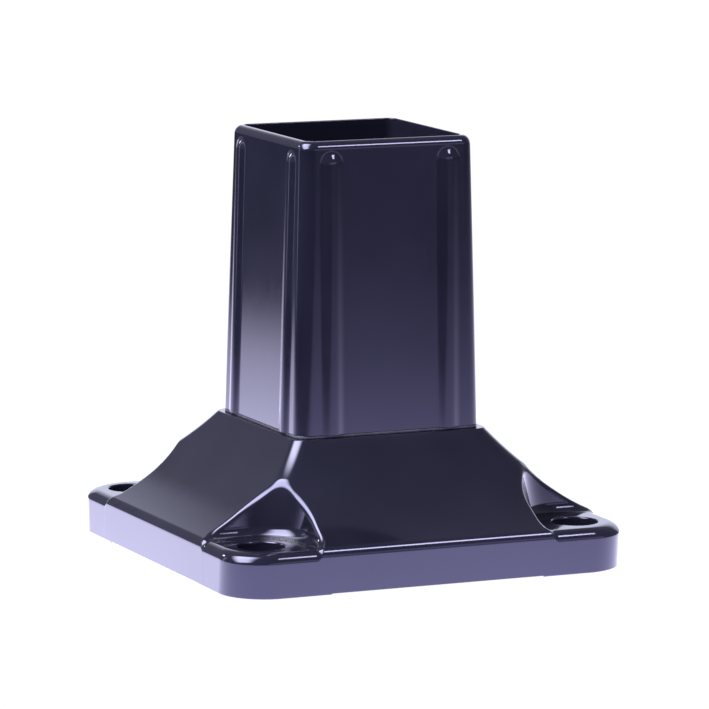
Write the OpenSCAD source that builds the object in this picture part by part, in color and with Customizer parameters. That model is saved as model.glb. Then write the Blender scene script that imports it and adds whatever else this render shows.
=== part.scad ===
// Stanchion base for a square post: a flared square foot with four corner bolt
// pockets, and a tapered square socket with two raised beads on each face.
// Millimetres. +Z is up, the deck is z = 0, the socket's axis is the Z axis.

/* [Foot] */
// Width of the square foot across its vertical sides
foot_w = 133.35; // [128:0.05:140]
// Radius of the foot's vertical corners
foot_corner_r = 14.3; // [10:0.1:17]
// Height of the foot's vertical side, up to its rounded edge
side_h = 11.4; // [10.5:0.1:12]
// Radius of the rounded edge between the side and the flare
side_r = 3.4; // [2:0.1:3.6]
// Height of the foot's top face, where the socket's gasket lies
foot_h = 41.2; // [40:0.1:44]
// Half width of the flare where it meets the top face
flare_top_half = 33.1; // [32.6:0.1:34.5]
// Radius of the concave flare, seen from the side
flare_r = 92; // [70:1:160]
// Radius of the flare's four ridges
ridge_r = 4.5; // [3:0.1:6]
// Wall of the cored underside
wall = 4.5; // [3.5:0.1:5.5]
// Depth of the relief under the foot between its corner pads
pad_relief = 0.4; // [0.2:0.1:1]
// Length of a corner pad along each side
pad_len = 31.3; // [28:0.1:33]

/* [Bolt pockets] */
// Distance between bolt holes along each side
bolt_pitch = 105.4; // [103:0.1:107]
// Diameter of a bolt hole
bolt_d = 14.3; // [11:0.1:16]
// Distance of a pocket's two walls from the centre plane
pocket_n = 37.2; // [36.5:0.1:39]
// Radius of the pocket's inner corner, in plan
pocket_r = 14; // [10:0.5:15]
// Height of the pocket's floor
pocket_z = 13.8; // [12.8:0.1:14.2]

/* [Socket] */
// Overall height above the deck
total_h = 132.2; // [120:0.1:150]
// Half width of the socket's outside at the seam
socket_half_low = 31.05; // [30.6:0.05:31.6]
// Half width of the socket's outside at the rim
socket_half_top = 28.8; // [28.4:0.05:30]
// Radius of the socket's outer vertical corners
socket_corner_r = 4.8; // [3.5:0.1:6]
// Width of the square opening, for a 50.8 mm post
opening_w = 52; // [51.6:0.1:52.6]
// Radius of the opening's corners
opening_r = 3; // [1:0.1:4]
// Rounding of the rim's outer edge
rim_r = 1.9; // [0.5:0.1:2.2]
// Height of the socket's own floor
socket_floor_z = 36; // [35:0.1:38]
// Half width of the spigot that stands in the foot
spigot_half = 29; // [28.6:0.1:29.2]
// Height of the spigot's underside, on the foot's web
spigot_z = 26; // [24:0.5:28]

/* [Beads] */
// Distance of a bead's centre from the middle of the face
bead_x = 19.6; // [17:0.1:21]
// Radius of a bead
bead_r = 4.6; // [3.5:0.1:6]
// Height of a bead above the face
bead_h = 1.2; // [0.6:0.1:1.8]
// Distance from the rim down to the bead's round end
bead_gap = 3.9; // [2.5:0.1:8]

/* [Hardware] */
// Thickness of the gasket in the seam
gasket_t = 0.8; // [0.5:0.1:1.5]
// Distance of a tie screw from each centre plane
tie_x = 17; // [15:0.5:18]
// Diameter of a tie screw and of a set screw
screw_d = 6; // [5:0.5:6]
// Length of a tie screw under its head
tie_len = 15.5; // [14:0.5:16]
// Thickness of the web that the tie screws pull on
web_t = 6; // [4:0.5:8]
// Length of a set screw
set_len = 6; // [6:0.5:8]
// Height of the lower set screw
set_z_low = 64; // [55:1:70]
// Height of the upper set screw
set_z_high = 98; // [85:1:110]
// Distance of a backed-out set screw's tip from the opening's wall
set_back = 0.3; // [0.2:0.1:0.6]
// Thickness of the pad under the post
stop_t = 3; // [2:0.5:5]
// Diameter of the drain through the socket's floor and the web
drain_d = 8; // [6:0.5:10]

/* [Hidden] */

foot_half = foot_w / 2;
opening_half = opening_w / 2;
well_half = spigot_half + 0.2;
well_out = well_half + 4;
col_z = foot_h + gasket_t;
bolt_x = bolt_pitch / 2;
pad_in = foot_half - pad_len;
washer_t = 1.5;
head_h = screw_d;
head_d = 10;
thread_gap = 0.06;
corner_steps = 6;

coat = [0.07, 0.07, 0.09];
rubber_black = [0.12, 0.12, 0.13];
stainless = [0.72, 0.73, 0.75];
pad_grey = [0.32, 0.33, 0.35];

// One ring of points on a rounded square of half width w and corner radius r.
function ring(w, r, z, n = corner_steps) = [
    for (c = [0:3]) for (i = [0:n])
        let (a = 90 * c + 90 * i / n, m = w - r,
             sx = (c == 0 || c == 3) ? 1 : -1, sy = (c < 2) ? 1 : -1)
        [sx * m + r * cos(a), sy * m + r * sin(a), z]];

// A closed solid through a stack of rings, lowest first.
module loft(rings) {
    k = len(rings[0]);
    m = len(rings);
    polyhedron(
        points = [for (q = rings) each q],
        faces = concat(
            [[for (i = [0:k - 1]) i]],
            [for (j = [0:m - 2]) for (i = [0:k - 1])
                [j * k + i, (j + 1) * k + i, (j + 1) * k + (i + 1) % k]],
            [for (j = [0:m - 2]) for (i = [0:k - 1])
                [j * k + i, (j + 1) * k + (i + 1) % k, j * k + (i + 1) % k]],
            [[for (i = [k - 1:-1:0]) (m - 1) * k + i]]));
}

// A rounded square with true arcs.
module rounded_square(w, r) {
    square([2 * w, 2 * (w - r)], center = true);
    square([2 * (w - r), 2 * w], center = true);
    for (x = [-1, 1], y = [-1, 1])
        translate([x * (w - r), y * (w - r)]) circle(r, $fn = 24);
}

module rounded_block(w, r, z0, z1) {
    translate([0, 0, z0]) linear_extrude(z1 - z0) rounded_square(w, r);
}

// The flare's side view is one concave arc between these two points.
side_a = 62;
fa = [foot_half - side_r * (1 - cos(side_a)), side_h + side_r * sin(side_a)];
fb = [flare_top_half, foot_h - 0.7];
f_len = norm(fb - fa);
f_mid = (fa + fb) / 2;
f_dir = (fb - fa) / f_len;
f_nor = [-f_dir[1], f_dir[0]];
f_side = (f_nor[0] > 0) ? 1 : -1;
f_cen = f_mid + f_side * f_nor * sqrt(flare_r * flare_r - f_len * f_len / 4);
a0 = atan2(fa[1] - f_cen[1], fa[0] - f_cen[0]);
a1 = atan2(fb[1] - f_cen[1], fb[0] - f_cen[0]);
// Point on the flare, moved back from its surface by d.
function flare(u, d = 0) = let (a = a0 + (a1 - a0) * u)
    f_cen + (flare_r + d) * [cos(a), sin(a)];
// Radius of the corner at height z: the foot's own at the side, the ridge above.
low_corner_r = foot_corner_r - side_r * (1 - cos(side_a));
function corner_at(z) = z <= fa[1] ? low_corner_r
    : z >= 29 ? ridge_r
    : low_corner_r + (ridge_r - low_corner_r) * (z - fa[1]) / (29 - fa[1]);

module foot_outside() {
    loft(concat(
        [ring(foot_half, foot_corner_r, 0)],
        [for (i = [0:2]) let (a = side_a * i / 3)
            ring(foot_half - side_r * (1 - cos(a)), foot_corner_r - side_r * (1 - cos(a)),
                 side_h + side_r * sin(a))],
        [for (i = [0:7]) let (p = flare(i / 7)) ring(p[0], corner_at(p[1]), p[1])],
        [ring(flare_top_half - 0.25, ridge_r, foot_h - 0.25),
         ring(flare_top_half - 0.75, ridge_r, foot_h)]));
}

// The cored space under the flare, before the well and the corners are left standing.
module foot_core() {
    core_top = 0.86;
    loft(concat(
        [ring(foot_half - wall, foot_corner_r - wall, -1, 3),
         ring(foot_half - wall, foot_corner_r - wall, side_h - 3.5, 3)],
        [for (i = [1:4]) let (p = flare(core_top * i / 4, wall))
            ring(min(p[0], foot_half - wall - i), max(2, corner_at(p[1]) - wall), p[1], 3)]));
}

// A pocket's plan at the corner with x and y above zero.
module pocket_plan(n, r) {
    difference() {
        translate([n, n]) square([60, 60]);
        difference() {
            translate([n - 1, n - 1]) square([r + 1, r + 1]);
            translate([n + r, n + r]) circle(r, $fn = 32);
        }
    }
}

module at_corners() {
    for (a = [0:90:270]) rotate([0, 0, a]) children();
}

module foot_casting() {
    color(coat) difference() {
        foot_outside();
        // cored underside, leaving the well and the four corner bosses
        difference() {
            foot_core();
            difference() {
                rounded_block(well_out, 5, -2, foot_h);
                rounded_block(well_half, 3.2, -3, spigot_z - web_t);
            }
            at_corners() translate([well_out - 1.3, well_out - 1.3, -2]) cube([60, 60, 60]);
        }
        rounded_block(well_half, 3.2, -1, spigot_z - web_t);
        // well for the socket's spigot
        rounded_block(well_half, 3.2, spigot_z, foot_h + 1);
        translate([0, 0, spigot_z - web_t - 1]) cylinder(h = web_t + 2, d = drain_d, $fn = 24);
        for (x = [-tie_x, tie_x], y = [-tie_x, tie_x])
            translate([x, y, spigot_z - web_t - 1])
                cylinder(h = web_t + 2, d = screw_d + 0.6, $fn = 20);
        at_corners() {
            translate([0, 0, pocket_z]) linear_extrude(40) pocket_plan(pocket_n, pocket_r);
            translate([bolt_x, bolt_x, -1]) cylinder(h = pocket_z + 3, d = bolt_d, $fn = 48);
        }
        // relief between the corner pads
        for (a = [0, 90]) rotate([0, 0, a])
            translate([-pad_in, -foot_w, -1]) cube([2 * pad_in, 2 * foot_w, 1 + pad_relief]);
    }
}

// Half width of the socket's outside at height z.
function socket_half(z) = socket_half_low
    + (socket_half_top - socket_half_low) * (z - col_z) / (total_h - col_z);
draft = atan((socket_half_low - socket_half_top) / (total_h - col_z));

module socket_outside() {
    loft(concat(
        [ring(socket_half(col_z), socket_corner_r, col_z)],
        [for (i = [0:4]) let (a = 90 * i / 4, z = total_h - rim_r + rim_r * sin(a))
            ring(socket_half(z) - rim_r * (1 - cos(a)),
                 socket_corner_r - rim_r * (1 - cos(a)) * 0.6, z)]));
}

// A bead lies on the drafted face at -Y, with a ball at its upper end.
module bead() {
    len_b = total_h - bead_gap - col_z;
    sink = bead_r - bead_h;
    ball_z = total_h - bead_gap - sqrt(bead_r * bead_r - sink * sink);
    intersection() {
        translate([0, -socket_half(ball_z) + sink, ball_z]) rotate([-draft, 0, 0]) {
            translate([0, 0, -len_b - 20]) cylinder(h = len_b + 20, r = bead_r, $fn = 64);
            sphere(bead_r, $fn = 64);
        }
        translate([-10, -40, col_z]) cube([20, 20, total_h]);
    }
}

module socket_column() {
    color(coat) difference() {
        union() {
            socket_outside();
            rounded_block(spigot_half, 3, spigot_z, col_z + 1);
            for (a = [0:90:270]) rotate([0, 0, a])
                for (x = [-bead_x, bead_x]) translate([x, 0, 0]) bead();
        }
        rounded_block(opening_half, opening_r, socket_floor_z, total_h + 1);
        translate([0, 0, spigot_z - 1]) cylinder(h = 20, d = drain_d, $fn = 48);
        for (x = [-tie_x, tie_x], y = [-tie_x, tie_x])
            translate([x, y, spigot_z - 1])
                cylinder(h = socket_floor_z - spigot_z - 0.4, d = screw_d + 0.1, $fn = 48);
        for (z = [set_z_low, set_z_high])
            translate([0, opening_half - 1, z]) rotate([-90, 0, 0])
                cylinder(h = 10, d = screw_d + 2 * thread_gap, $fn = 48);
    }
}

module seam_gasket() {
    color(rubber_black) difference() {
        rounded_block(socket_half_low - 0.35, socket_corner_r - 0.3, foot_h, col_z);
        rounded_block(spigot_half, 3, foot_h - 1, col_z + 1);
    }
}

module tie_screw() {
    difference() {
        union() {
            cylinder(h = tie_len, d = screw_d, $fn = 48);
            translate([0, 0, -head_h]) cylinder(h = head_h, d = head_d, $fn = 64);
        }
        translate([0, 0, -head_h - 1]) cylinder(h = 4, d = 5.77, $fn = 6);
    }
}

module tie_screws() {
    color(stainless) for (x = [-tie_x, tie_x], y = [-tie_x, tie_x])
        translate([x, y, spigot_z - web_t - washer_t]) tie_screw();
}

module tie_lock_washers() {
    color(stainless) for (x = [-tie_x, tie_x], y = [-tie_x, tie_x])
        translate([x, y, spigot_z - web_t - washer_t]) difference() {
            cylinder(h = washer_t, d = 10.8, $fn = 64);
            translate([0, 0, -1]) cylinder(h = washer_t + 2, d = screw_d + 0.3, $fn = 48);
            rotate([0, 0, 20]) translate([0, -0.5, -1]) cube([8, 1, washer_t + 2]);
        }
}

module post_stop_pad() {
    color(pad_grey) difference() {
        rounded_block(opening_half - 0.4, opening_r - 0.2, socket_floor_z, socket_floor_z + stop_t);
        translate([0, 0, socket_floor_z - 1]) cylinder(h = stop_t + 2, d = drain_d + 4, $fn = 64);
        for (a = [0, 90]) rotate([0, 0, a])
            translate([-30, -1.5, socket_floor_z + stop_t - 1]) cube([60, 3, 2]);
    }
}

// A cup-point set screw along +Y, with its tip at y = 0 and its key socket outside.
module set_screw() {
    rotate([-90, 0, 0]) difference() {
        union() {
            cylinder(h = 1, r1 = screw_d / 2 - 1, r2 = screw_d / 2, $fn = 48);
            translate([0, 0, 1]) cylinder(h = set_len - 1.4, d = screw_d, $fn = 48);
            translate([0, 0, set_len - 0.4])
                cylinder(h = 0.4, r1 = screw_d / 2, r2 = screw_d / 2 - 0.4, $fn = 48);
        }
        translate([0, 0, set_len - 2.6]) cylinder(h = 4, d = 3.46, $fn = 6);
        translate([0, 0, -0.01]) cylinder(h = 0.6, r1 = 1.3, r2 = 0.4, $fn = 32);
    }
}

module set_screw_lower() {
    color(stainless) translate([0, opening_half + set_back, set_z_low]) set_screw();
}

module set_screw_upper() {
    color(stainless) translate([0, opening_half + set_back, set_z_high]) set_screw();
}

foot_casting();
socket_column();
seam_gasket();
tie_screws();
tie_lock_washers();
post_stop_pad();
set_screw_lower();
set_screw_upper();
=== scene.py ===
import math

import bmesh
import bpy
import numpy as np
from mathutils import Matrix


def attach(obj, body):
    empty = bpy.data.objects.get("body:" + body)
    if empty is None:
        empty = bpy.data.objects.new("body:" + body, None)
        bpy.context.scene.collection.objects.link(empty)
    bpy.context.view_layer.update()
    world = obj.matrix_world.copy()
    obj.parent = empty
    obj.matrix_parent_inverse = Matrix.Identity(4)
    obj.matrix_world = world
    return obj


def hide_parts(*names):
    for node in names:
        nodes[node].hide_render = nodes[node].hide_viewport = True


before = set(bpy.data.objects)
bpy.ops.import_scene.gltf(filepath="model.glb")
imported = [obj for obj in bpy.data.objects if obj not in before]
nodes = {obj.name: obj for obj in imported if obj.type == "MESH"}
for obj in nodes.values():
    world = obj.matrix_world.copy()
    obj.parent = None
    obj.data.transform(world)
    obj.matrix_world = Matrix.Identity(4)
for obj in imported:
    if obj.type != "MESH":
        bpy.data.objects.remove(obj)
scene = bpy.context.scene


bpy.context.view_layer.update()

# ---------------------------------------------------------------- dimensions, mm
FOOT_HALF = 66.675
CORNER_R = 14.3
EDGE_R = 3.5  # rounded edge between the foot's side and the flare
FOOT_H = 41.2
TOP_HALF = 33.1
RIDGE_R = 4.5
FLARE_R = 92.0
POCKET_N = 37.2
POCKET_R = 17.0
POCKET_Z = 13.8
POCKET_FILLET = 3.1
POCKET_DRAFT = 0.07
RIM_EDGE = 1.5
BOLT_X = 52.7
BOLT_R = 7.15
RELIEF = 0.4
PAD_IN = 66.675 - 31.3
WALL = 4.5
WELL = 29.2
LEDGE_R = 0.4  # rounded edge between the flare and the top face
WEB_LOW = 20.0
WEB_TOP = 26.0
SEAM = 42.0
TOTAL_H = 132.2
HALF_LOW = 31.05
HALF_TOP = 28.8
SOCKET_R = 4.8
OPEN_HALF = 26.0
OPEN_R = 3.0
FLOOR_Z = 36.0
BEAD_X = 19.6
BEAD_R = 4.6
BEAD_SINK = 3.4
BEAD_GAP = 3.9
TIE_X = 17.0
SET_Z = (64.0, 98.0)


# ---------------------------------------------------------------- distance shapes
def rint(a, b, r):
    """Intersection of two solids with its convex edge rounded to r."""
    return np.minimum(-r, np.maximum(a, b)) + np.hypot(np.maximum(r + a, 0), np.maximum(r + b, 0))


def runi(a, b, r):
    """Union of two solids with its inner corner filled to r."""
    return np.maximum(r, np.minimum(a, b)) - np.hypot(np.maximum(r - a, 0), np.maximum(r - b, 0))


def rdiff(a, b, r):
    return rint(a, -b, r)


def rint_slanted(a, b, r, c):
    """As rint, with a true radius where the two faces' normals have the cosine c."""
    u, v = a + r, b + r
    arc = np.sqrt(np.maximum(u * u + v * v - 2 * c * u * v, 0) / (1 - c * c)) - r
    return np.where((u > c * v) & (v > c * u), arc, np.maximum(a, b))


def rsquare(ax, ay, h, r):
    """Distance to a rounded square of half width h and corner radius r."""
    m = h - r
    return (
        np.hypot(np.maximum(ax - m, 0), np.maximum(ay - m, 0))
        + np.minimum(np.maximum(ax, ay) - m, 0)
        - r
    )


def half_width(ax, ay, r):
    """The half width of the rounded square with corner radius r that passes through a point."""
    d = np.abs(ax - ay)
    s = ax + ay
    inside = np.maximum(2 * r * r - d * d, 0)
    return np.where(d >= r, np.maximum(ax, ay), r + (s - np.sqrt(inside)) / 2)


# the flare's concave arc, from the edge rounding up to the ledge
_ea = math.radians(27.0)
_fa = (FOOT_HALF - EDGE_R * (1 - math.sin(_ea)), 11.4 + EDGE_R * math.cos(_ea))
_fb = (TOP_HALF, 40.5)
_len = math.dist(_fa, _fb)
_dir = ((_fb[0] - _fa[0]) / _len, (_fb[1] - _fa[1]) / _len)
_nor = (-_dir[1], _dir[0])
if _nor[0] < 0:
    _nor = (-_nor[0], -_nor[1])
_off = math.sqrt(FLARE_R**2 - _len * _len / 4)
FLARE_C = ((_fa[0] + _fb[0]) / 2 + _nor[0] * _off, (_fa[1] + _fb[1]) / 2 + _nor[1] * _off)


def corner_radius(z):
    return np.interp(z, [0, 14.0, 30.0, 60.0], [CORNER_R, CORNER_R - 1.2, RIDGE_R, RIDGE_R])


def foot_shape(x, y, z):
    ax, ay = np.abs(x), np.abs(y)
    w = half_width(ax, ay, corner_radius(z))
    reach = np.hypot(w - FLARE_C[0], z - FLARE_C[1])
    flare = FLARE_R - reach
    body = rint_slanted(w - FOOT_HALF, flare, EDGE_R, np.clip((FLARE_C[0] - w) / reach, 0, 0.9))
    body = rint_slanted(body, z - FOOT_H, LEDGE_R, np.clip((FLARE_C[1] - z) / reach, 0, 0.9))
    # bolt pockets, with leaning walls and a fillet round the floor
    n = POCKET_N - POCKET_DRAFT * (z - POCKET_Z)
    notch = rint(n - ax, n - ay, POCKET_R)
    floor = POCKET_Z + 0.004 * (FOOT_HALF - np.maximum(ax, ay))
    low = rint(w - FOOT_HALF, z - floor, EDGE_R)
    pocket = rint(notch, -low, POCKET_FILLET)
    edge = RIM_EDGE * np.clip((FOOT_HALF - 0.4 - w) / 3.0, 0.02, 1)
    body = rint(body, -pocket, edge)
    # bolt holes
    hole = np.hypot(ax - BOLT_X, ay - BOLT_X) - BOLT_R
    body = rdiff(body, hole, 0.55)
    # bottom edge and the relief between the corner pads
    body = rint(body, -z, 0.7)
    relief = np.maximum(z - RELIEF, np.minimum(ax, ay) - PAD_IN)
    body = rint(body, -relief, 0.2)
    # cored underside: four side cavities and the middle one under the web
    core = rint(w - (FOOT_HALF - WALL), flare + WALL, 2.0)
    core = rint(core, z - 34.0, 2.0)
    core = rint(core, WELL + 4 - np.maximum(ax, ay), 2.5)
    corner = np.minimum(ax, ay) - (WELL + 4 - 1.3)
    core = rint(core, corner, 2.5)
    body = rint(body, -core, 1.0)
    middle = rint(rsquare(ax, ay, WELL, 3.2), z - WEB_LOW, 1.2)
    body = rint(body, -middle, 0.8)
    well = np.maximum(rsquare(ax, ay, WELL, 3.2), WEB_TOP - z)
    body = rint(body, -well, 0.3)
    drain = np.hypot(x, y) - 4.0
    body = rint(body, -np.maximum(drain, z - 30), 0.4)
    screw = np.hypot(ax - TIE_X, ay - TIE_X) - 3.3
    return rint(body, -np.maximum(screw, z - 30), 0.2)


BEAD_BALL = TOTAL_H - BEAD_GAP - math.sqrt(BEAD_R**2 - BEAD_SINK**2)


def socket_half(z):
    return HALF_LOW + (HALF_TOP - HALF_LOW) * (z - SEAM) / (TOTAL_H - SEAM)


def column_shape(x, y, z):
    ax, ay = np.abs(x), np.abs(y)
    h = socket_half(z)
    body = rint(rsquare(ax, ay, h, SOCKET_R), z - TOTAL_H, 2.5)
    up = np.maximum(z - BEAD_BALL, 0)
    hb = socket_half(np.minimum(z, BEAD_BALL)) - BEAD_SINK
    bead = np.minimum(
        np.sqrt((ax - BEAD_X) ** 2 + (ay - hb) ** 2 + up * up),
        np.sqrt((ay - BEAD_X) ** 2 + (ax - hb) ** 2 + up * up),
    ) - BEAD_R
    body = runi(body, bead, 0.75)
    body = rint(body, SEAM - z, 0.25)
    spigot = np.maximum(np.maximum(rsquare(ax, ay, 29.0, 3.0), WEB_TOP - z), z - 44.0)
    spigot = rint(rsquare(ax, ay, 29.0, 3.0), np.maximum(WEB_TOP - z, z - 44.0), 0.4)
    body = np.minimum(body, spigot)
    opening = rint(rsquare(ax, ay, OPEN_HALF, OPEN_R), FLOOR_Z - z, 1.0)
    body = rint(body, -opening, 0.3 + 0.4 * (z < 60))
    drain = np.hypot(x, y) - 4.0
    body = rint(body, -np.maximum(drain, z - 50), 0.4)
    screw = np.hypot(ax - TIE_X, ay - TIE_X) - 3.05
    body = np.maximum(body, -np.maximum(screw, z - 35.6))
    for zc in SET_Z:
        bore = np.maximum(np.hypot(x, z - zc) - 3.06, 20.0 - y)
        body = rint(body, -bore, 0.35)
    return body


def pad_shape(x, y, z):
    ax, ay = np.abs(x), np.abs(y)
    body = rint(rsquare(ax, ay, OPEN_HALF - 0.4, OPEN_R - 0.2), np.abs(z - 37.5) - 1.5, 0.5)
    body = rint(body, -(np.hypot(x, y) - 6.0), 0.4)
    groove = np.maximum(np.minimum(ax, ay) - 1.5, 38.0 - z)
    body = rint(body, -groove, 0.3)
    ribs = np.maximum(np.abs((np.maximum(ax, ay) % 6.0) - 3.0) - 0.5, 38.6 - z)
    return rint(body, -np.maximum(ribs, 8.0 - np.maximum(ax, ay)), 0.15)


def lines(*parts):
    """Grid lines through (end, step) stretches, from the first number on."""
    at = [parts[0]]
    for end, step in parts[1:]:
        n = max(1, int(round((end - at[-1]) / step)))
        at += list(np.linspace(at[-1], end, n + 1)[1:])
    return np.array(at)


def both(half):
    """The same lines on both sides of zero."""
    return np.concatenate([-half[::-1], half])


def surface(shape, xs, ys, zs, mirror_x=True, mirror_y=True):
    """A closed quad mesh of where shape is zero: one point in each grid cell that it crosses."""
    gx = xs[xs > 0] if mirror_x else xs
    gy = ys[ys > 0] if mirror_y else ys
    v = shape(gx[:, None, None], gy[None, :, None], zs[None, None, :]).astype(np.float32)
    if mirror_x:
        v = np.concatenate([v[::-1], v], 0)
    if mirror_y:
        v = np.concatenate([v[:, ::-1], v], 1)
    inside = v < 0
    nx, ny, nz = (s - 1 for s in v.shape)
    count = np.zeros((nx, ny, nz), np.uint8)
    for i in (0, 1):
        for j in (0, 1):
            for k in (0, 1):
                count += inside[i : i + nx, j : j + ny, k : k + nz]
    cells = np.argwhere((count > 0) & (count < 8))
    index = -np.ones((nx, ny, nz), np.int64)
    index[cells[:, 0], cells[:, 1], cells[:, 2]] = np.arange(len(cells))
    ci, cj, ck = cells.T
    total = np.zeros((len(cells), 3))
    found = np.zeros(len(cells))
    corner = lambda a, b, c: v[ci + a, cj + b, ck + c]
    place = lambda a, b, c: np.stack([xs[ci + a], ys[cj + b], zs[ck + c]], 1)
    for axis in range(3):
        for p in (0, 1):
            for q in (0, 1):
                lo = [p, q]
                lo.insert(axis, 0)
                hi = [p, q]
                hi.insert(axis, 1)
                a, b = corner(*lo), corner(*hi)
                cross = (a < 0) != (b < 0)
                t = np.where(cross, a / np.where(cross, a - b, 1), 0)[:, None]
                at = place(*lo) * (1 - t) + place(*hi) * t
                total += np.where(cross[:, None], at, 0)
                found += cross
    points = total / found[:, None]
    size = np.stack(
        [xs[ci + 1] - xs[ci], ys[cj + 1] - ys[cj], zs[ck + 1] - zs[ck]], 1
    ).min(1)
    normal = None
    for step in range(6):
        f = shape(points[:, 0], points[:, 1], points[:, 2])
        g = np.empty_like(points)
        e = 0.004
        for axis in range(3):
            d = np.zeros(3)
            d[axis] = e
            hi, lo = points + d, points - d
            g[:, axis] = (shape(hi[:, 0], hi[:, 1], hi[:, 2]) - shape(lo[:, 0], lo[:, 1], lo[:, 2])) / (2 * e)
        length = np.maximum(np.linalg.norm(g, axis=1), 1e-6)
        normal = g / length[:, None]
        if step < 5:
            move = np.clip(f / length, -0.4 * size, 0.4 * size)
            points = points - normal * move[:, None]
    quads = []
    s = inside
    # edges along x
    e = s[:-1, 1:-1, 1:-1] != s[1:, 1:-1, 1:-1]
    i, j, k = np.nonzero(e)
    j, k = j + 1, k + 1
    q = np.stack([index[i, j - 1, k - 1], index[i, j, k - 1], index[i, j, k], index[i, j - 1, k]], 1)
    flip = ~s[i, j, k]
    q[flip] = q[flip][:, ::-1]
    quads.append(q)
    e = s[1:-1, :-1, 1:-1] != s[1:-1, 1:, 1:-1]
    i, j, k = np.nonzero(e)
    i, k = i + 1, k + 1
    q = np.stack([index[i - 1, j, k - 1], index[i - 1, j, k], index[i, j, k], index[i, j, k - 1]], 1)
    flip = ~s[i, j, k]
    q[flip] = q[flip][:, ::-1]
    quads.append(q)
    e = s[1:-1, 1:-1, :-1] != s[1:-1, 1:-1, 1:]
    i, j, k = np.nonzero(e)
    i, j = i + 1, j + 1
    q = np.stack([index[i - 1, j - 1, k], index[i, j - 1, k], index[i, j, k], index[i - 1, j, k]], 1)
    flip = ~s[i, j, k]
    q[flip] = q[flip][:, ::-1]
    quads.append(q)
    return points, np.concatenate(quads), normal


def object_from(name, points, faces, normals=None, material=None, smooth=True):
    """A mesh object in metres from points in millimetres."""
    mesh = bpy.data.meshes.new(name)
    mesh.from_pydata((np.asarray(points) / 1000.0).tolist(), [], [list(map(int, f)) for f in faces])
    mesh.validate(clean_customdata=False)
    mesh.update()
    mesh.polygons.foreach_set("use_smooth", [smooth] * len(mesh.polygons))
    if normals is not None and len(mesh.vertices) == len(normals):
        mesh.normals_split_custom_set_from_vertices(np.asarray(normals).tolist())
    obj = bpy.data.objects.new(name, mesh)
    scene.collection.objects.link(obj)
    if material:
        mesh.materials.append(material)
    return obj


# ---------------------------------------------------------------- materials
def new_material(name):
    m = bpy.data.materials.new(name)
    m.use_nodes = True
    nt = m.node_tree
    bsdf = nt.nodes["Principled BSDF"]
    return m, nt, bsdf


def noise(nt, scale, detail=4.0, rough=0.55, coords=None):
    t = nt.nodes.new("ShaderNodeTexNoise")
    t.inputs["Scale"].default_value = scale
    t.inputs["Detail"].default_value = detail
    t.inputs["Roughness"].default_value = rough
    if coords is None:
        tc = nt.nodes.new("ShaderNodeTexCoord")
        coords = tc.outputs["Object"]
    nt.links.new(coords, t.inputs["Vector"])
    return t.outputs["Fac"]


def ramp(nt, fac, a, b, lo=0.3, hi=0.7):
    r = nt.nodes.new("ShaderNodeValToRGB")
    r.color_ramp.elements[0].position = lo
    r.color_ramp.elements[0].color = (*a, 1)
    r.color_ramp.elements[1].position = hi
    r.color_ramp.elements[1].color = (*b, 1)
    nt.links.new(fac, r.inputs["Fac"])
    return r.outputs["Color"]


def between(nt, fac, a, b, lo=0.3, hi=0.7):
    r = nt.nodes.new("ShaderNodeMapRange")
    r.inputs["From Min"].default_value = lo
    r.inputs["From Max"].default_value = hi
    r.inputs["To Min"].default_value = a
    r.inputs["To Max"].default_value = b
    nt.links.new(fac, r.inputs["Value"])
    return r.outputs["Result"]


def bump(nt, height, distance, strength, under=None):
    b = nt.nodes.new("ShaderNodeBump")
    b.inputs["Distance"].default_value = distance
    b.inputs["Strength"].default_value = strength
    nt.links.new(height, b.inputs["Height"])
    if under is not None:
        nt.links.new(under, b.inputs["Normal"])
    return b.outputs["Normal"]


def coat_material(name, seed):
    """Gloss black powder coat: near-black with a cool cast, a faint orange peel and fine dust."""
    m, nt, bsdf = new_material(name)
    tc = nt.nodes.new("ShaderNodeTexCoord")
    mp = nt.nodes.new("ShaderNodeMapping")
    mp.inputs["Location"].default_value = (seed, seed * 0.7, -seed)
    nt.links.new(tc.outputs["Object"], mp.inputs["Vector"])
    v = mp.outputs["Vector"]
    broad = noise(nt, 38.0, 3.0, 0.5, v)
    bsdf.inputs["IOR"].default_value = 1.5
    bsdf.inputs["Specular Tint"].default_value = (0.70, 0.68, 1.0, 1)
    nt.links.new(ramp(nt, broad, (0.0040, 0.0040, 0.0085), (0.0062, 0.0062, 0.0120)), bsdf.inputs["Base Color"])
    fine = noise(nt, 260.0, 3.0, 0.5, v)
    nt.links.new(between(nt, fine, 0.07, 0.11), bsdf.inputs["Roughness"])
    peel = noise(nt, 420.0, 2.0, 0.45, v)
    n1 = bump(nt, peel, 0.00006, 0.01)
    wave = noise(nt, 70.0, 2.0, 0.5, v)
    n2 = bump(nt, wave, 0.0004, 0.016, n1)
    nt.links.new(n2, bsdf.inputs["Normal"])
    return m


def steel_material(name):
    m, nt, bsdf = new_material(name)
    bsdf.inputs["Metallic"].default_value = 1.0
    broad = noise(nt, 220.0, 3.0)
    nt.links.new(ramp(nt, broad, (0.50, 0.50, 0.51), (0.66, 0.66, 0.67)), bsdf.inputs["Base Color"])
    fine = noise(nt, 1400.0, 4.0)
    nt.links.new(between(nt, fine, 0.22, 0.36), bsdf.inputs["Roughness"])
    nt.links.new(bump(nt, fine, 0.00003, 0.2), bsdf.inputs["Normal"])
    return m


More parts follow.
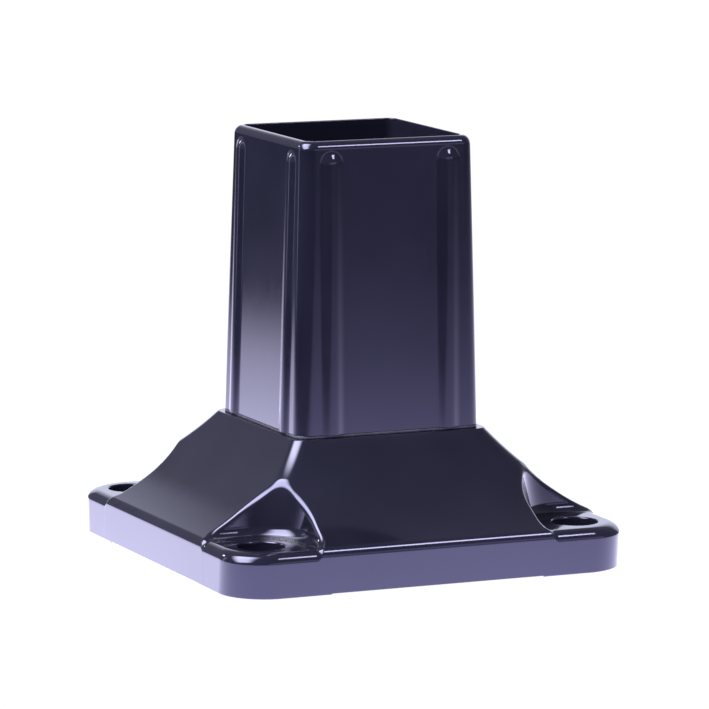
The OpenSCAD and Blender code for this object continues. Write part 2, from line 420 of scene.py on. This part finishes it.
def rubber_material(name):
    m, nt, bsdf = new_material(name)
    broad = noise(nt, 160.0, 4.0)
    nt.links.new(ramp(nt, broad, (0.034, 0.034, 0.043), (0.050, 0.050, 0.062)), bsdf.inputs["Base Color"])
    bsdf.inputs["Specular Tint"].default_value = (0.70, 0.68, 1.0, 1)
    fine = noise(nt, 1800.0, 4.0)
    nt.links.new(between(nt, fine, 0.18, 0.3), bsdf.inputs["Roughness"])
    nt.links.new(bump(nt, fine, 0.00005, 0.3), bsdf.inputs["Normal"])
    return m


def plastic_material(name):
    m, nt, bsdf = new_material(name)
    broad = noise(nt, 90.0, 4.0)
    nt.links.new(ramp(nt, broad, (0.055, 0.057, 0.062), (0.078, 0.080, 0.086)), bsdf.inputs["Base Color"])
    fine = noise(nt, 1500.0, 5.0)
    nt.links.new(between(nt, fine, 0.42, 0.6), bsdf.inputs["Roughness"])
    nt.links.new(bump(nt, fine, 0.00006, 0.35), bsdf.inputs["Normal"])
    return m


COAT_FOOT = coat_material("coat_foot", 0.0)
COAT_COLUMN = coat_material("coat_column", 0.31)
STEEL = steel_material("stainless_steel")
RUBBER = rubber_material("black_rubber")
PLASTIC = plastic_material("grey_plastic")

# ---------------------------------------------------------------- castings
gx = both(lines(0.75, (27.5, 1.5), (30.2, 0.5), (32.2, 0.5), (33.6, 0.2), (36.2, 0.5), (41.0, 0.32), (62.6, 0.45), (65.8, 0.36), (67.6, 0.3)))
gz = lines(-0.53, (1.07, 0.2), (9.5, 1.05), (13.2, 0.41), (15.4, 0.16), (17.8, 0.3), (30.5, 0.62), (39.8, 0.9), (42.1, 0.19))
pts, quads, nrm = surface(foot_shape, gx, gx, gz)
foot = object_from("foot_casting_body", pts, quads, nrm, COAT_FOOT)
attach(foot, "base")
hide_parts("foot_casting")

cx = both(lines(0.6, (2.2, 0.8), (3.8, 0.4), (15.0, 1.3), (24.0, 0.42), (33.4, 0.42)))
cy = cx
cz = lines(25.3, (27.3, 0.5), (35.2, 1.4), (37.8, 0.5), (41.4, 0.9), (43.2, 0.25), (60.2, 2.0), (67.8, 0.45), (94.2, 2.0), (101.8, 0.45), (121.5, 2.0), (129.5, 0.42), (133.0, 0.25))
pts, quads, nrm = surface(column_shape, cx, cy, cz, mirror_y=False)
column = object_from("socket_column_body", pts, quads, nrm, COAT_COLUMN)
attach(column, "base")
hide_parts("socket_column")

px = both(lines(0.35, (26.4, 0.48)))
pz = lines(35.55, (39.5, 0.28))
pts, quads, nrm = surface(pad_shape, px, px, pz)
pad = object_from("post_stop_pad_body", pts, quads, nrm, PLASTIC)
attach(pad, "base")
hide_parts("post_stop_pad")


# ---------------------------------------------------------------- gasket and hardware
def square_path(half, r, steps=8):
    pts = []
    for c in range(4):
        for i in range(steps + 1):
            a = math.radians(90 * c + 90 * i / steps)
            sx = 1 if c in (0, 3) else -1
            sy = 1 if c < 2 else -1
            m = half - r
            pts.append((sx * m + r * math.cos(a), sy * m + r * math.sin(a), math.cos(a), math.sin(a)))
    return pts


def gasket():
    """A flat gasket whose squeezed outer edge bulges in the seam."""
    section = []
    outer, inner, z0, z1 = 30.95, 29.05, 41.2, 42.0
    c = (z0 + z1) / 2
    h = (z1 - z0) / 2
    for i in range(9):
        a = -math.pi / 2 + math.pi * i / 8
        section.append((outer - 0.12 + 0.12 * math.cos(a), c + h * math.sin(a)))
    section += [(inner + 0.15, z1), (inner, z1 - 0.12), (inner, z0 + 0.12), (inner + 0.15, z0)]
    path = square_path(outer, 4.5)
    pts, faces = [], []
    k = len(section)
    for x, y, nx, ny in path:
        for r, z in section:
            pts.append((x - nx * (outer - r), y - ny * (outer - r), z))
    n = len(path)
    for i in range(n):
        for j in range(k):
            a, b = i * k + j, i * k + (j + 1) % k
            c2, d = ((i + 1) % n) * k + j, ((i + 1) % n) * k + (j + 1) % k
            faces.append((a, c2, d, b))
    return pts, faces


pts, faces = gasket()
seal = object_from("seam_gasket_body", pts, faces, None, RUBBER)
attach(seal, "base")
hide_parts("seam_gasket")


def polar(rings, n, place):
    """A closed solid from rings about an axis. Each ring is (radius function of angle, height)."""
    angles = [2 * math.pi * j / n for j in range(n)]
    pts = [place(0.0, 0.0, rings[0][1])]
    for radius, z in rings:
        for a in angles:
            r = radius(a) if callable(radius) else radius
            pts.append(place(r * math.cos(a), r * math.sin(a), z))
    last = len(pts)
    pts.append(place(0.0, 0.0, rings[-1][1]))
    faces = []
    for j in range(n):
        faces.append((0, 1 + (j + 1) % n, 1 + j))
        faces.append((last, 1 + (len(rings) - 1) * n + j, 1 + (len(rings) - 1) * n + (j + 1) % n))
    for i in range(len(rings) - 1):
        for j in range(n):
            a, b = 1 + i * n + j, 1 + i * n + (j + 1) % n
            faces.append((a, b, b + n, a + n))
    return pts, faces


def hexagon(across):
    half = across / 2
    return lambda a: half / math.cos((a + math.pi / 6) % (math.pi / 3) - math.pi / 6)


def thread(r, z, pitch=1.0, depth=0.5):
    """The radius of a right-hand thread at height z, rounded at root and crest."""
    def f(a):
        t = (z / pitch - a / (2 * math.pi)) % 1.0
        tri = abs(2 * t - 1)
        return r - depth * min(1.0, max(0.0, 1.25 * (1 - tri) - 0.12))
    return f


def cap_screw(cx0, cy0):
    """A socket head cap screw that points up, its head below z0."""
    z0 = 18.5
    rings = []
    hexa = hexagon(5.0)
    hex_out = lambda a: hexa(a) + 0.25
    rings += [(0.05, z0 - 2.6)]
    rings += [(lambda a: hexa(a) * 0.5, z0 - 2.75), (hexa, z0 - 3.0), (hexa, z0 - 5.75), (hex_out, z0 - 6.0)]
    knurl = lambda a: 5.0 - 0.11 * (0.5 + 0.5 * math.cos(36 * a))
    rings += [(3.9, z0 - 6.0), (4.55, z0 - 5.95), (4.85, z0 - 5.7), (knurl, z0 - 5.3), (knurl, z0 - 1.2)]
    rings += [(4.92, z0 - 0.9), (4.92, z0 - 0.15), (4.75, z0), (3.25, z0), (2.98, z0 + 0.25), (2.98, z0 + 4.0)]
    z = z0 + 4.25
    while z < z0 + 15.0:
        rings.append((thread(2.98, z), z))
        z += 0.125
    rings += [(2.45, z0 + 15.1), (2.1, z0 + 15.5)]
    return polar(rings, 144, lambda x, y, zz: (cx0 + x, cy0 + y, zz))


def turn_over(faces):
    return [tuple(reversed(f)) for f in faces]


all_pts, all_faces = [], []
for sx in (-1, 1):
    for sy in (-1, 1):
        pts, faces = cap_screw(sx * TIE_X, sy * TIE_X)
        off = len(all_pts)
        all_pts += pts
        all_faces += [tuple(off + i for i in f) for f in faces]
screws = object_from("tie_screws_body", all_pts, all_faces, None, STEEL)
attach(screws, "base")
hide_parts("tie_screws")


def lock_washer(cx0, cy0, turn):
    """A split ring of near-square section, pressed almost flat."""
    z0, z1, r0, r1 = 18.5, 20.0, 3.2, 5.4
    b = 0.18
    section = [(r0 + b, z0), (r1 - b, z0), (r1, z0 + b), (r1, z1 - b), (r1 - b, z1), (r0 + b, z1), (r0, z1 - b), (r0, z0 + b)]
    k = len(section)
    n = 60
    pts, faces = [], []
    start, end = math.radians(6), math.radians(354)
    for i in range(n + 1):
        a = start + (end - start) * i / n
        for r, z in section:
            skew = (z - z0) / (z1 - z0) * 0.12
            pts.append((cx0 + r * math.cos(turn + a + skew), cy0 + r * math.sin(turn + a + skew), z))
    for i in range(n):
        for j in range(k):
            p, q = i * k + j, i * k + (j + 1) % k
            faces.append((p, p + k, q + k, q))
    faces.append(tuple(range(k)))
    faces.append(tuple(n * k + j for j in reversed(range(k))))
    return pts, faces


all_pts, all_faces = [], []
for m, (sx, sy) in enumerate(((-1, -1), (-1, 1), (1, -1), (1, 1))):
    pts, faces = lock_washer(sx * TIE_X, sy * TIE_X, 0.5 + 1.3 * m)
    off = len(all_pts)
    all_pts += pts
    all_faces += [tuple(off + i for i in f) for f in faces]
washers = object_from("tie_lock_washers_body", all_pts, all_faces, None, STEEL)
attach(washers, "base")
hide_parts("tie_lock_washers")


def set_screw(zc):
    """A cup-point set screw along +Y: cup inside, hex socket outside."""
    tip = 26.3
    end = tip + 6.0
    hexa = hexagon(3.0)
    rings = [(0.05, 0.55), (1.2, 0.05), (1.45, 0.0), (2.0, 0.12), (2.75, 0.95)]
    z = 1.1
    while z < 5.5:
        rings.append((thread(2.97, z), z))
        z += 0.125
    rings += [(2.9, 5.62), (2.6, 5.95), (2.35, 6.0), (lambda a: hexa(a) + 0.2, 6.0), (hexa, 5.85), (hexa, 3.6), (0.05, 3.2)]
    return polar(rings, 96, lambda x, y, h: (x, tip + h, zc - y))


for node, body, zc in (("set_screw_lower", "lower_set_screw", SET_Z[0]), ("set_screw_upper", "upper_set_screw", SET_Z[1])):
    pts, faces = set_screw(zc)
    screw = object_from(node + "_body", pts, faces, None, STEEL)
    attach(screw, body)
    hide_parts(node)

# outward normals on the small parts
for o in (seal, screws, washers, bpy.data.objects["set_screw_lower_body"], bpy.data.objects["set_screw_upper_body"]):
    bm = bmesh.new()
    bm.from_mesh(o.data)
    bmesh.ops.recalc_face_normals(bm, faces=bm.faces)
    for e in bm.edges:
        if len(e.link_faces) == 2:
            e.smooth = e.calc_face_angle(0.0) < math.radians(38)
    bm.to_mesh(o.data)
    bm.free()

# ---------------------------------------------------------------- camera
AZ, EL, ROLL = math.radians(-24.343), math.radians(8.882), math.radians(0.342)
back = np.array([math.sin(AZ) * math.cos(EL), -math.cos(AZ) * math.cos(EL), math.sin(EL)])
right = np.array([math.cos(AZ), math.sin(AZ), 0.0])
up = np.cross(back, right)
r_axis = math.cos(ROLL) * right + math.sin(ROLL) * up
u_axis = -math.sin(ROLL) * right + math.cos(ROLL) * up
cam_data = bpy.data.cameras.new("camera")
cam_data.sensor_width = 36.0
cam_data.lens = 5111.0 / 709.0 * 36.0
cam_data.clip_start = 0.05
cam_data.clip_end = 20.0
cam = bpy.data.objects.new("camera", cam_data)
scene.collection.objects.link(cam)
place = Matrix.Identity(4)
for i in range(3):
    place[i][0], place[i][1], place[i][2] = r_axis[i], u_axis[i], back[i]
place[0][3], place[1][3], place[2][3] = -0.64991, -1.43983, 0.30829
cam.matrix_world = place
scene.camera = cam

# ---------------------------------------------------------------- stage and light
scene.view_settings.view_transform = "Standard"
scene.view_settings.look = "None"
scene.view_settings.exposure = 0.0
scene.view_settings.gamma = 1.0


def plane(name, corners, material):
    mesh = bpy.data.meshes.new(name)
    mesh.from_pydata(corners, [], [(0, 1, 2, 3)])
    mesh.materials.append(material)
    obj = bpy.data.objects.new(name, mesh)
    scene.collection.objects.link(obj)
    return obj


def glow(name, colour, strength):
    m = bpy.data.materials.new(name)
    m.use_nodes = True
    nt = m.node_tree
    nt.nodes.clear()
    out = nt.nodes.new("ShaderNodeOutputMaterial")
    em = nt.nodes.new("ShaderNodeEmission")
    em.inputs["Color"].default_value = (*colour, 1)
    em.inputs["Strength"].default_value = strength
    nt.links.new(em.outputs["Emission"], out.inputs["Surface"])
    return m


def falloff(nt, direction, near, far, low):
    """1 up to near metres along a direction over the floor, low beyond far."""
    tc = nt.nodes.new("ShaderNodeTexCoord")
    dot = nt.nodes.new("ShaderNodeVectorMath")
    dot.operation = "DOT_PRODUCT"
    dot.inputs[1].default_value = direction
    nt.links.new(tc.outputs["Object"], dot.inputs[0])
    r = nt.nodes.new("ShaderNodeMapRange")
    r.interpolation_type = "SMOOTHSTEP"
    r.inputs["From Min"].default_value = near
    r.inputs["From Max"].default_value = far
    r.inputs["To Min"].default_value = 1.0
    r.inputs["To Max"].default_value = low
    nt.links.new(dot.outputs["Value"], r.inputs["Value"])
    return r.outputs["Result"]


def times(nt, a, b):
    m = nt.nodes.new("ShaderNodeMath")
    m.operation = "MULTIPLY"
    nt.links.new(a, m.inputs[0])
    nt.links.new(b, m.inputs[1])
    return m.outputs["Value"]


def soft_panel(name, centre, target, long_dir, size_long, size_short, radiance, colour, soft_long, soft_short):
    """A glowing panel facing target whose light fades toward its four edges."""
    c, t = np.array(centre, float), np.array(target, float)
    zax = t - c
    zax /= np.linalg.norm(zax)
    xax = np.array(long_dir, float)
    xax -= zax * (xax @ zax)
    xax /= np.linalg.norm(xax)
    yax = np.cross(zax, xax)
    hl, hs = size_long / 2, size_short / 2
    mesh = bpy.data.meshes.new(name)
    mesh.from_pydata([(-hl, -hs, 0), (hl, -hs, 0), (hl, hs, 0), (-hl, hs, 0)], [], [(0, 1, 2, 3)])
    m = glow(name, colour, 1.0)
    nt = m.node_tree
    em = [n for n in nt.nodes if n.type == "EMISSION"][0]
    f = None
    for axis, half, soft in (((1, 0, 0), hl, soft_long), ((-1, 0, 0), hl, soft_long), ((0, 1, 0), hs, soft_short), ((0, -1, 0), hs, soft_short)):
        g = falloff(nt, axis, half * (1 - soft), half, 0.0)
        f = g if f is None else times(nt, f, g)
    k = nt.nodes.new("ShaderNodeMath")
    k.operation = "MULTIPLY"
    k.inputs[1].default_value = radiance
    nt.links.new(f, k.inputs[0])
    nt.links.new(k.outputs["Value"], em.inputs["Strength"])
    clear = nt.nodes.new("ShaderNodeBsdfTransparent")
    both_ = nt.nodes.new("ShaderNodeAddShader")
    out = [n for n in nt.nodes if n.type == "OUTPUT_MATERIAL"][0]
    nt.links.new(em.outputs["Emission"], both_.inputs[0])
    nt.links.new(clear.outputs["BSDF"], both_.inputs[1])
    nt.links.new(both_.outputs["Shader"], out.inputs["Surface"])
    mesh.materials.append(m)
    obj = bpy.data.objects.new(name, mesh)
    scene.collection.objects.link(obj)
    place = Matrix.Identity(4)
    for i in range(3):
        place[i][0], place[i][1], place[i][2], place[i][3] = xax[i], yax[i], zax[i], c[i]
    obj.matrix_world = place
    obj.visible_camera = False
    return obj


def area_light(name, centre, target, long_dir, size_long, size_short, radiance, colour=(1, 1, 1)):
    light = bpy.data.lights.new(name, "AREA")
    light.shape = "RECTANGLE"
    light.size = size_long
    light.size_y = size_short
    light.color = colour
    light.energy = radiance * math.pi * size_long * size_short
    obj = bpy.data.objects.new(name, light)
    scene.collection.objects.link(obj)
    c, t = np.array(centre, float), np.array(target, float)
    zax = c - t
    zax /= np.linalg.norm(zax)
    xax = np.array(long_dir, float)
    xax -= zax * (xax @ zax)
    xax /= np.linalg.norm(xax)
    yax = np.cross(zax, xax)
    m = Matrix.Identity(4)
    for i in range(3):
        m[i][0], m[i][1], m[i][2], m[i][3] = xax[i], yax[i], zax[i], c[i]
    obj.matrix_world = m
    obj.visible_camera = False
    return obj


# a pale floor: the camera sees it evenly lit, and the gloss sees it fall off with distance
S = 6.0
seen = plane("floor_seen", [(-S, -S, -0.0006), (S, -S, -0.0006), (S, S, -0.0006), (-S, S, -0.0006)], glow("floor_white", (1.0, 1.0, 1.0), 1.02))
seen.visible_diffuse = False
seen.visible_glossy = False
seen.visible_transmission = False
seen.visible_shadow = False
pale = glow("floor_pale", (0.77, 0.75, 1.0), 1.0)
nt = pale.node_tree
fade = times(nt, falloff(nt, (-0.9, 0.43, 0), 0.36, 0.58, 0.12), falloff(nt, (-0.91, -0.41, 0), 0.17, 0.42, 0.2))
fade = times(nt, fade, falloff(nt, (0, 1, 0), 0.05, 0.25, 1.22))
tc = nt.nodes.new("ShaderNodeTexCoord")
length = nt.nodes.new("ShaderNodeVectorMath")
length.operation = "LENGTH"
nt.links.new(tc.outputs["Object"], length.inputs[0])
drop = nt.nodes.new("ShaderNodeMath")
drop.operation = "DIVIDE"
drop.inputs[1].default_value = 0.36
nt.links.new(length.outputs["Value"], drop.inputs[0])
square = times(nt, drop.outputs["Value"], drop.outputs["Value"])
plus = nt.nodes.new("ShaderNodeMath")
plus.operation = "ADD"
plus.inputs[1].default_value = 1.0
nt.links.new(square, plus.inputs[0])
level = nt.nodes.new("ShaderNodeMath")
level.operation = "DIVIDE"
level.inputs[0].default_value = 5.6
nt.links.new(plus.outputs["Value"], level.inputs[1])
nt.links.new(times(nt, fade, level.outputs["Value"]), [n for n in nt.nodes if n.type == "EMISSION"][0].inputs["Strength"])
lit = plane("floor_lit", [(-S, -S, -0.0002), (S, -S, -0.0002), (S, S, -0.0002), (-S, S, -0.0002)], pale)
lit.visible_camera = False

# backdrop behind the object along the camera's view
soft_panel("backdrop", (0.66, 1.10, 0.0), (0, 0, 0.0), (0.94, -0.34, 0.0), 1.9, 1.70, 1.6, (0.78, 0.81, 1.0), 0.14, 0.47)
# low glow in front, and a narrow reflector on the left
soft_panel("front_glow", (0.55, -1.25, 0.26), (0, 0, 0.26), (0.92, 0.40, 0.0), 1.6, 0.56, 1.7, (0.80, 0.78, 1.0), 0.3, 1.0)
soft_panel("left_strip", (-0.50, 0.37, 0.18), (0, 0, 0.10), (0.0, 0.0, 1.0), 0.40, 0.10, 2.2, (0.85, 0.85, 1.0), 0.3, 0.6)
soft_panel("left_spot", (-0.46, 0.65, 0.43), (0, 0, 0.12), (0.0, 0.0, 1.0), 0.14, 0.12, 24.0, (0.95, 0.95, 1.0), 0.4, 0.4)

D = 0.62
c2 = np.array([-0.634, -0.06, 0.771])
soft_panel("softbox_left", c2 * D + np.array([0, 0, 0.03]), (0, 0, 0.03), (0.57, 0.595, 0.51), 0.86, 0.60, 21.0, (0.93, 0.94, 1.0), 0.35, 0.75)
c1 = np.array([0.407, -0.565, 0.718])
area_light("softbox_right", c1 * 0.8 + np.array([0, 0, 0.02]), (0, 0, 0.02), (0.0, 0.84, 0.55), 0.15, 0.16, 24.0, (0.95, 0.95, 1.0))

world = bpy.data.worlds.new("studio")
scene.world = world
world.use_nodes = True
wb = world.node_tree.nodes["Background"]
wb.inputs["Color"].default_value = (0.52, 0.51, 0.62, 1)
wb.inputs["Strength"].default_value = 0.55
